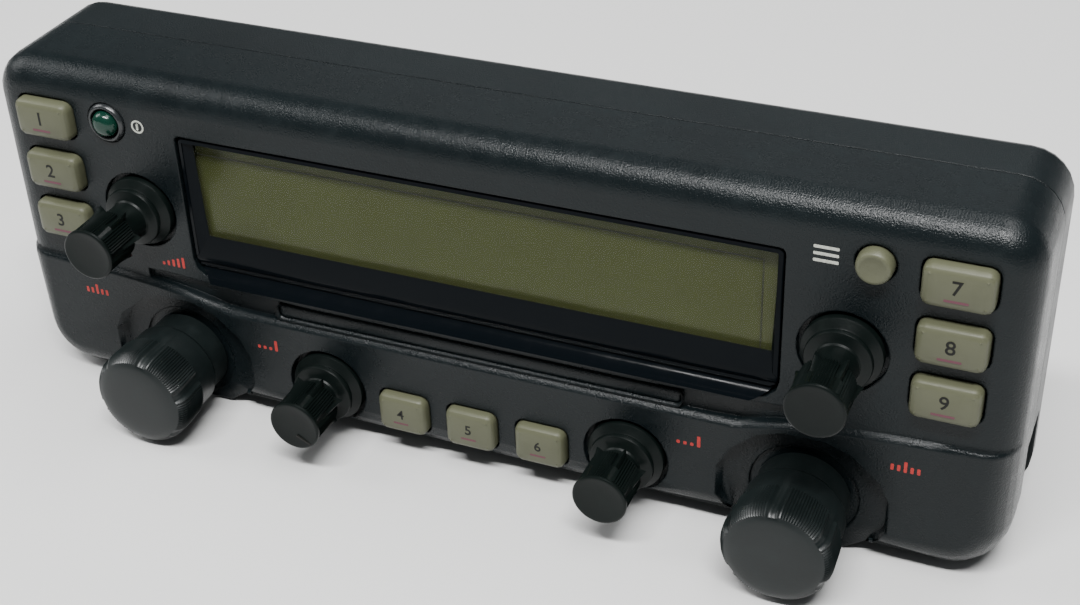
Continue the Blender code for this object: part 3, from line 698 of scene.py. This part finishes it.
def makeSmallKnob(kind):
    settings = smallKnobSettings
    size = settings[kind]
    cap, grip, face, front = settings["cap"], settings["grip"], size["face"], -size["reach"]
    skirt = size["pocket"] - 0.6
    rings = [
        (front + 0.2, 0.25), (front + 0.19, 1.0), (front + 0.15, 2.0), (front + 0.08, 2.8),
        (front + 0.01, cap - 0.42), (front, cap - 0.3), (front + 0.04, cap - 0.16),
        (front + 0.15, cap - 0.04), (front + 0.3, cap), (front + 0.46, cap - 0.02),
        (front + 0.54, cap - 0.12), (front + 0.57, cap - 0.36), (front + 0.7, cap - 0.36),
    ]
    rings += [(front + depth, grip) for depth, _, _ in settings["shape"]]
    rings += [
        (front + 6.68, 2.7), (face - 2.85, 2.7), (face - 2.6, 2.85), (face - 2.42, 3.2),
        (face - 2.32, skirt - 1.15), (face - 2.22, skirt - 0.95),
        (face - 2.05, skirt - 0.86), (face - 1.7, skirt - 0.83), (face - 1.58, skirt - 0.92),
        (face - 1.5, skirt - 1.1), (face - 1.2, skirt - 1.12), (face - 1.05, skirt - 0.95),
        (face - 0.62, skirt - 0.2), (face - 0.5, skirt - 0.05), (face - 0.35, skirt),
        (face + 0.45, skirt), (face + 0.75, skirt - 0.4), (face + 0.78, 1.7),
    ]
    centre = knobCentre(f"{kind}_knob_left")
    piece = turnedBody(f"{kind}Knob_left", centre, rings, settings["sides"])
    capEnds(piece)
    for depth, blade, ribs in settings["shape"]:
        shapeRing(piece, centre, front + depth, blade, ribs, dict(settings, phase=size["phase"]))
    tidyNormals(piece)
    smooth(piece, 28)
    copyKnob(piece, kind, 0)


def makeDial():
    settings = dialSettings
    front = -settings["reach"]
    ribbed = [
        (front + 0.56, 6.35), (front + 1.0, 6.74), (front + 1.7, 7.02), (front + 2.5, 7.1),
        (front + 5.8, 6.95),
    ]
    rings = [
        (front, 0.4), (front + 0.01, 1.6), (front + 0.03, 3.0), (front + 0.09, 4.2),
        (front + 0.2, 5.2), (front + 0.36, 5.85), (front + 0.52, 6.15), *ribbed,
        (front + 5.87, 6.58), (-3.45, 6.52), (-3.3, 6.42), (-2.95, 6.3), (-2.7, 6.0),
        (0.65, 6.0), (0.7, 2.4),
    ]
    centre = knobCentre("dial_knob_left")
    piece = turnedBody("dialKnob_left", centre, rings, settings["sides"])
    capEnds(piece)
    for depth, _ in ribbed:
        shapeRing(piece, centre, depth, settings["blade"], settings["ribs"], settings)
    tidyNormals(piece)
    smooth(piece, 28)
    # a turn about +Y runs clockwise seen from the front
    copyKnob(piece, "dial", -settings["turnRight"])


makeSmallKnob("vol")
makeSmallKnob("sql")
makeDial()
print("knobs made")


# keys
keySettings = {
    "flange": 0.6,
    "flangeDepth": 2.5,
    "flangeThick": 0.8,
    "stem": 1.4,
    "stemEnd": 4.6,
    "corner": 1.15,
    "slope": (1.3, 1.4),
    "rim": 0.38,
    "upperBase": 0.15,
    "lowerBase": -0.65,
}
keyRows = ("left_top", "left_middle", "left_bottom", "right_top", "right_middle", "right_bottom")
centreKeys = ("centre_left", "centre_middle", "centre_right")


def growBack(piece, centre, scale, step):
    # continues the back face into a wider or narrower step
    bpy.ops.mesh.extrude_region_move(TRANSFORM_OT_translate={"value": (0, 0, 0)})
    bpy.ops.transform.resize(value=(scale[0], 1, scale[1]), center_override=centre)
    bpy.ops.mesh.extrude_region_move(TRANSFORM_OT_translate={"value": (0, step * mm, 0)})


def makeKey(name, node, baseDepth):
    settings = keySettings
    low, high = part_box(node)
    flange = settings["flange"] * mm
    wide, tall = high.x - low.x - 2 * flange, high.z - low.z - 2 * flange
    centre = Vector(((low.x + high.x) / 2, low.y, (low.z + high.z) / 2))
    back = faceY + settings["flangeDepth"] * mm
    middle = (centre.x, (low.y + back) / 2, centre.z)
    piece = addBlock(name, middle, (wide, back - low.y, tall))
    roundUprights(piece, settings["corner"] * mm, 6)
    inEditMode(piece)
    bpy.ops.mesh.select_all(action="SELECT")
    bpy.ops.mesh.bisect(plane_co=(0, faceY + baseDepth * mm, 0), plane_no=(0, 1, 0))
    pickFaces(piece, lambda spot, normal: normal.y < -0.95)
    slopeX, slopeZ = settings["slope"]
    narrow = ((wide - slopeX * mm) / wide, 1, (tall - slopeZ * mm) / tall)
    bpy.ops.transform.resize(value=narrow, center_override=centre)
    softenOutline(piece, -1, settings["rim"] * mm, 5)
    pickFaces(piece, lambda spot, normal: normal.y > 0.95)
    spread = ((wide + 2 * flange) / wide, (tall + 2 * flange) / tall)
    growBack(piece, middle, spread, settings["flangeThick"])
    stem = 2 * settings["stem"] * mm
    shrink = (stem / (wide + 2 * flange), stem / (tall + 2 * flange))
    left = settings["stemEnd"] - settings["flangeDepth"] - settings["flangeThick"]
    growBack(piece, middle, shrink, left)
    tidyNormals(piece)
    smooth(piece, 40)
    return piece


def makeKeyRow(rows, baseDepth):
    # the first key is modelled, and the others are copies of it
    first = makeKey(f"keyCap_{rows[0]}", f"button_{rows[0]}", baseDepth)
    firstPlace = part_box(f"button_{rows[0]}")[0]
    for row in rows[1:]:
        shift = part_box(f"button_{row}")[0] - firstPlace
        twin = copyTo(first, f"keyCap_{row}", shift)
        dress(twin, finishes["key"], f"key_{row}", f"button_{row}")
    dress(first, finishes["key"], f"key_{rows[0]}", f"button_{rows[0]}")


makeKeyRow(keyRows, keySettings["upperBase"])
makeKeyRow(centreKeys, keySettings["lowerBase"])

roundKeySettings = {
    "set": [
        (-1.38, 0.3), (-1.40, 1.2), (-1.48, 1.5), (-1.5, 1.66), (-1.46, 1.84), (-1.34, 1.98),
        (-1.1, 2.12), (-0.7, 2.18), (0.0, 2.2), (2.5, 2.2), (2.5, 2.8), (3.3, 2.8), (3.3, 1.4), (4.6, 1.4),
    ],
    "power": [
        (-1.5, 0.25), (-1.47, 0.7), (-1.36, 1.05), (-1.15, 1.38), (-0.85, 1.63), (-0.45, 1.8),
        (0.1, 1.88), (0.6, 1.9), (2.5, 1.9), (2.5, 2.5), (3.3, 2.5), (3.3, 1.4), (4.6, 1.4),
    ],
    "collar": [
        (0.9, 2.15), (-0.42, 2.15), (-0.5, 2.22), (-0.52, 2.32), (-0.5, 2.42), (-0.4, 2.54),
        (-0.22, 2.68), (0.0, 2.75), (2.1, 2.75), (2.1, 2.15), (0.9, 2.15),
    ],
    "sides": 72,
}


def makeRoundKey(kind, finish):
    node = f"button_{kind}"
    settings = roundKeySettings
    piece = turnedBody(f"roundKey_{kind}", knobCentre(node), settings[kind], settings["sides"])
    capEnds(piece)
    tidyNormals(piece)
    smooth(piece, 40)
    dress(piece, finishes[finish], f"key_{kind}", node)


def makePowerCollar(settings):
    centre = knobCentre("power_collar")
    collar = turnedBody("powerCollar", centre, settings["collar"], settings["sides"])
    tidyNormals(collar)
    smooth(collar, 40)
    dress(collar, finishes["collar"], "head", "power_collar")


makeRoundKey("set", "key")
makeRoundKey("power", "power")
makePowerCollar(roundKeySettings)
print("keys made")


# display window, its bezel and the cell's printed line
windowSettings = {
    "margin": 1.0,
    "corners": (0.8, 3.0),
    "rim": 0.25,
    "border": 0.5,
    "fold": 0.4,
    "front": 0.25,
    "back": 1.5,
    "clear": (-38.7, 40.0, 25.2, 42.05),
    "step": 0.55,
    "cell": (-40.2, 40.8, 23.6, 42.3),
    "cellDepth": 1.56,
    "line": 0.2,
    "lineTop": 39.9,
    "lineRight": 38.2,
}


def makeWindow(settings):
    low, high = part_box("display_window")
    margin = settings["margin"] * mm
    wide = high.x - low.x - 2 * margin
    lowZ, highZ = low.z + margin, high.z - margin
    front, back = faceY + settings["front"] * mm, faceY + settings["back"] * mm
    middle = (0, (front + back) / 2, (lowZ + highZ) / 2)
    piece = addBlock("windowLens", middle, (wide, back - front, highZ - lowZ))

    def atTopCorner(spot):
        return spot.z > highZ - mm and abs(spot.x) > wide / 2 - mm
    upper, lower = settings["corners"]
    roundUprights(piece, lower * mm, 10, lambda spot: spot.z < middle[2])
    roundUprights(piece, upper * mm, 5, atTopCorner)
    softenOutline(piece, -1, settings["rim"] * mm, 4)
    # the clear area over the cell lies deeper than the border, so the wide lower border slopes
    pickFaces(piece, lambda spot, normal: normal.y < -0.98)
    bpy.ops.mesh.inset(thickness=settings["border"] * mm, depth=0)
    inObjectMode()
    inner = [face for face in piece.data.polygons if face.normal.y < -0.98 and len(face.vertices) > 6]
    panel = max(inner, key=lambda face: face.area)
    clearPicks(piece.data)
    panel.select = True
    inEditMode(piece, "FACE")
    bpy.ops.mesh.inset(thickness=settings["fold"] * mm, depth=0)
    bpy.ops.transform.translate(value=(0, settings["step"] * mm, 0))
    left, right, bottom, top = [value * mm for value in settings["clear"]]
    insets = 2 * (settings["border"] + settings["fold"]) * mm
    rangeX = (right - left) / (wide - insets)
    rangeZ = (top - bottom) / (highZ - lowZ - insets)
    bpy.ops.transform.resize(value=(rangeX, 1, rangeZ), center_override=middle)
    shift = ((left + right) / 2, 0, (top + bottom) / 2 - middle[2])
    bpy.ops.transform.translate(value=shift)
    inObjectMode()
    clearFace = [face.index for face in piece.data.polygons if face.select]
    smooth(piece, 20)
    dress(piece, finishes["lens"], "head", "display_window")
    piece.data.materials.append(finishes["clear"])
    for face in piece.data.polygons:
        if face.index in clearFace or face.normal.y > 0.95:
            face.material_index = 1


def makeCell(settings):
    # the cell's front glass, close behind the window, and its printed line along the top and right
    left, right, bottom, top = [value * mm for value in settings["cell"]]
    y = faceY + settings["cellDepth"] * mm
    centre = ((left + right) / 2, y + 0.06 * mm, (top + bottom) / 2)
    glass = addBlock("cellGlass", centre, (right - left, 0.12 * mm, top - bottom))
    softenOutline(glass, -1, 0.04 * mm, 2)
    dress(glass, finishes["cell"], "head", None)
    line = settings["line"] * mm
    y -= 0.015 * mm
    level, edge = settings["lineTop"] * mm, settings["lineRight"] * mm
    bar = addBlock("cellLine", ((left + edge) / 2, y, level), (edge - left, 0.02 * mm, line))
    post = addBlock("cellPost", (edge, y, (level + bottom) / 2), (line, 0.02 * mm, level - bottom))
    joinPieces([bar, post])
    dress(bar, finishes["inkLine"], "head", None)


def makeCellFinish():
    # the olive cell: even in the middle, browner at its left corners and darker at its ends
    finish = bpy.data.materials.new("cellOlive")
    finish.use_nodes = True
    tree = finish.node_tree
    principled = tree.nodes["Principled BSDF"]
    group, entry, leave, place = makeGroup(
        "cellCornerDarkening",
        [
            ("Tone", "NodeSocketColor", (0.044, 0.051, 0.016, 1)),
            ("Darker Tone", "NodeSocketColor", (0.026, 0.030, 0.008, 1)),
        ],
    )
    y = faceY + windowSettings["cellDepth"] * mm
    left, right, bottom, top = [value * mm for value in windowSettings["clear"]]
    amounts = []
    # the cell turns darker towards its top-left and bottom-left corners, and in slow random clouds
    for corner, reach in (((left, y, top), 0.0075), ((left + 0.006, y, bottom - 0.002), 0.0085)):
        apart = group.nodes.new("ShaderNodeVectorMath")
        apart.operation = "DISTANCE"
        group.links.new(place.outputs["Object"], apart.inputs[0])
        apart.inputs[1].default_value = corner
        amounts.append(rangeNode(group, apart.outputs["Value"], 0.85, 0.0, 0.1 * reach, reach))
    cloud = noiseNode(group, place, 55.0, 2.0)
    total = mathNode(group, "MAXIMUM", amounts[0], amounts[1])
    total = mathNode(group, "ADD", total, rangeNode(group, cloud, 0.0, 0.16))
    tone = mixNode(group, total, entry.outputs["Tone"], entry.outputs["Darker Tone"])
    gloss = rangeNode(group, cloud, 0.10, 0.18)
    closeGroup(group, leave, tone, gloss, cloud)
    effect = tree.nodes.new("ShaderNodeGroup")
    effect.node_tree = group
    tree.links.new(effect.outputs["Color"], principled.inputs["Base Color"])
    tree.links.new(effect.outputs["Roughness"], principled.inputs["Roughness"])
    principled.inputs["Specular IOR Level"].default_value = 0.15
    return finish


finishes["cell"] = makeCellFinish()
makeWindow(windowSettings)
makeCell(windowSettings)
print("display made")


# printed marks: plain numbers on the keys, plain bars by the knobs
markSettings = {
    "lift": 0.012,
    "thick": 0.01,
    "face": {
        # finish, height above or below the face, and bars of (x, z, wide, tall)
        "set": ("inkLight", 0.0, ((45.8, 44.0, 3.0, 0.4), (45.8, 43.1, 3.0, 0.4), (45.8, 42.2, 3.0, 0.4))),
        "volume": ("inkRed", 0.0, (
            (-46.2, 22.35, 0.4, 0.5), (-45.4, 22.5, 0.4, 0.8), (-44.6, 22.65, 0.4, 1.1),
            (-43.8, 22.8, 0.4, 1.4), (-43.0, 22.95, 0.4, 1.7))),
        "squelch_left": ("inkRed", -0.8, (
            (-32.0, 12.3, 0.45, 0.5), (-31.1, 12.3, 0.45, 0.5),
            (-30.2, 12.3, 0.45, 0.5), (-29.3, 12.9, 0.45, 1.7))),
        "squelch_right": ("inkRed", -0.8, (
            (28.8, 12.3, 0.45, 0.5), (29.7, 12.3, 0.45, 0.5),
            (30.6, 12.3, 0.45, 0.5), (31.5, 12.9, 0.45, 1.7))),
        "dial_left": ("inkRed", -0.8, (
            (-59.6, 15.6, 0.4, 0.9), (-58.8, 15.6, 0.4, 0.9), (-58.0, 15.9, 0.4, 1.6),
            (-57.2, 15.6, 0.4, 0.9), (-56.4, 15.6, 0.4, 0.9))),
        "dial_right": ("inkRed", -0.8, (
            (55.7, 15.8, 0.4, 0.9), (56.5, 15.8, 0.4, 0.9), (57.3, 16.1, 0.4, 1.6),
            (58.1, 15.8, 0.4, 0.9), (58.9, 15.8, 0.4, 0.9))),
    },
    "power": {"centre": (-46.6, 43.3), "outer": 0.95, "inner": 0.70, "bar": (0.3, 0.9),
              "front": -0.022, "back": -0.012},
    "keys": ("left_top", "left_middle", "left_bottom", "centre_left", "centre_middle", "centre_right",
             "right_top", "right_middle", "right_bottom"),
    "large": {"height": 1.9, "rise": 0.45, "drop": 1.3, "bar": (2.8, 0.32)},
    "small": {"height": 1.5, "rise": 0.40, "drop": 1.1, "bar": (2.2, 0.28)},
}


def makeBars(name, bars, y, finish, body):
    # bars are (x, z, wide, tall) in mm, joined as one printed piece
    parts = []
    for x, z, wide, tall in bars:
        part = addBlock(name, (x * mm, y, z * mm), (wide * mm, markSettings["thick"] * mm, tall * mm))
        roundUprights(part, min(wide, tall) * 0.3 * mm, 3)
        parts.append(part)
    joinPieces(parts)
    dress(parts[0], finishes[finish], body)


def makeNumber(name, number, centre, y, height, finish, body):
    inObjectMode()
    bpy.ops.object.select_all(action="DESELECT")
    bpy.ops.object.text_add(location=(0, 0, 0), rotation=(math.pi / 2, 0, 0))
    piece = bpy.context.object
    piece.name = name
    piece.data.body = str(number)
    piece.data.size = 1.0
    piece.data.resolution_u = 3
    piece.data.extrude = 0.001
    piece.data.offset = 0.012
    bpy.ops.object.convert(target="MESH")
    piece = bpy.context.object
    fixPlace(piece)
    xs = [vert.co.x for vert in piece.data.vertices]
    zs = [vert.co.z for vert in piece.data.vertices]
    grow = height * mm / (max(zs) - min(zs))
    thick = markSettings["thick"] * mm
    piece.scale = (grow, thick / 0.002, grow)
    x = centre[0] - grow * (max(xs) + min(xs)) / 2
    z = centre[1] - grow * (max(zs) + min(zs)) / 2
    piece.location = (x, y - thick / 2, z)
    fixPlace(piece)
    dress(piece, finishes[finish], body)


def makePowerMark(settings):
    # a ring with an upright bar inside it
    x, z = settings["centre"]
    outer, inner = settings["outer"], settings["inner"]
    front, back = settings["front"], settings["back"]
    rings = [(back, outer), (front, outer), (front, inner), (back, inner)]
    ring = turnedBody("markPower", (x * mm, z * mm), rings, 40)
    tidyNormals(ring)
    wide, tall = settings["bar"]
    middle = (x * mm, faceY - 0.017 * mm, z * mm)
    bar = addBlock("markPowerBar", middle, (wide * mm, markSettings["thick"] * mm, tall * mm))
    roundUprights(bar, 0.1 * mm, 3)
    joinPieces([ring, bar])
    dress(ring, finishes["inkLight"], "head")


for markName, (finish, depth, bars) in markSettings["face"].items():
    makeBars(f"mark_{markName}", bars, faceY + (depth - markSettings["lift"]) * mm, finish, "head")
makePowerMark(markSettings["power"])
for number, row in enumerate(markSettings["keys"], 1):
    low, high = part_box(f"button_{row}")
    x, z = (low.x + high.x) / 2, (low.z + high.z) / 2
    sizes = markSettings["small" if row.startswith("centre") else "large"]
    surface = low.y - markSettings["lift"] * mm
    spot = (x, z + sizes["rise"] * mm)
    makeNumber(f"number_{row}", number, spot, surface, sizes["height"], "inkBlack", f"key_{row}")
    bar = (x / mm, z / mm - sizes["drop"], *sizes["bar"])
    makeBars(f"bar_{row}", (bar,), surface, "inkRose", f"key_{row}")


sqlMarkSettings = {"start": (-21.5, 6.5), "end": (-19.4, 5.5), "wide": 0.26, "deep": 0.22, "behind": 0.08}


def makeSqlMark(settings):
    # the pointer line across the squelch knob's cap
    (x0, z0), (x1, z1) = settings["start"], settings["end"]
    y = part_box("sql_knob_left")[0].y + settings["behind"] * mm
    long = math.hypot(x1 - x0, z1 - z0)
    size = (long * mm, settings["deep"] * mm, settings["wide"] * mm)
    mark = addBlock("sqlMark", (0, 0, 0), size)
    mark.rotation_euler = (0, -math.atan2(z1 - z0, x1 - x0), 0)
    mark.location = ((x0 + x1) / 2 * mm, y, (z0 + z1) / 2 * mm)
    fixPlace(mark)
    dress(mark, finishes["inkBlack"], "sql_left")


makeSqlMark(sqlMarkSettings)
print("marks made")


# small marks at the dial seats
seatMarkSettings = {
    "places": ((-8.3, 6.9), (8.3, 6.9), (9.0, -5.2)),
    "size": (0.9, 0.55, 0.6),
    "floor": 0.8,
    "sink": 0.1,
    "taper": (0.6, 0.5),
    "rim": 0.06,
}


def makeSeatMarks(side, settings):
    x, z = knobCentre(f"dial_knob_{side}")
    parts = []
    wide, deep, tall = [value * mm for value in settings["size"]]
    taperX, taperZ = settings["taper"]
    level = faceY + settings["floor"] * mm - deep / 2 + settings["sink"] * mm
    for dx, dz in settings["places"]:
        spot = (x + dx * mm, level, z + dz * mm)
        block = addBlock(f"seatMark_{side}", spot, (wide, deep, tall))
        pickFaces(block, lambda centre, normal: normal.y < -0.95)
        bpy.ops.transform.resize(value=(taperX, 1, taperZ), center_override=spot)
        softenOutline(block, -1, settings["rim"] * mm, 2)
        parts.append(block)
    joinPieces(parts)
    dress(parts[0], finishes["case"], "head", None)


for side in ("left", "right"):
    makeSeatMarks(side, seatMarkSettings)


# finishes for the CAD nodes that stay
keptNodes = {
    "lcd_glass": "cell",
    "lcd_light_guide": "guide",
    "lcd_holder": "bezel",
    "lcd_connector_strip": "strip",
    "lamp_left": "lamp",
    "lamp_right": "lamp",
    "main_board": "board",
    "controller_ic": "chip",
    "control_jack": "jack",
    "jack_contacts": "gold",
    "mount_insert_left": "brass",
    "mount_insert_right": "brass",
}
for name in nodes:
    if name.startswith("switch_"):
        keptNodes[name] = "switch"
    elif name.startswith("cover_screw"):
        keptNodes[name] = "screw"
    elif "_shaft_" in name:
        keptNodes[name] = "shaft"
    elif "_pot_" in name or "_encoder_" in name:
        keptNodes[name] = "tin"
for name, finish in keptNodes.items():
    nodes[name].data.materials.clear()
    nodes[name].data.materials.append(finishes[finish])
print("kept nodes finished:", len(keptNodes))
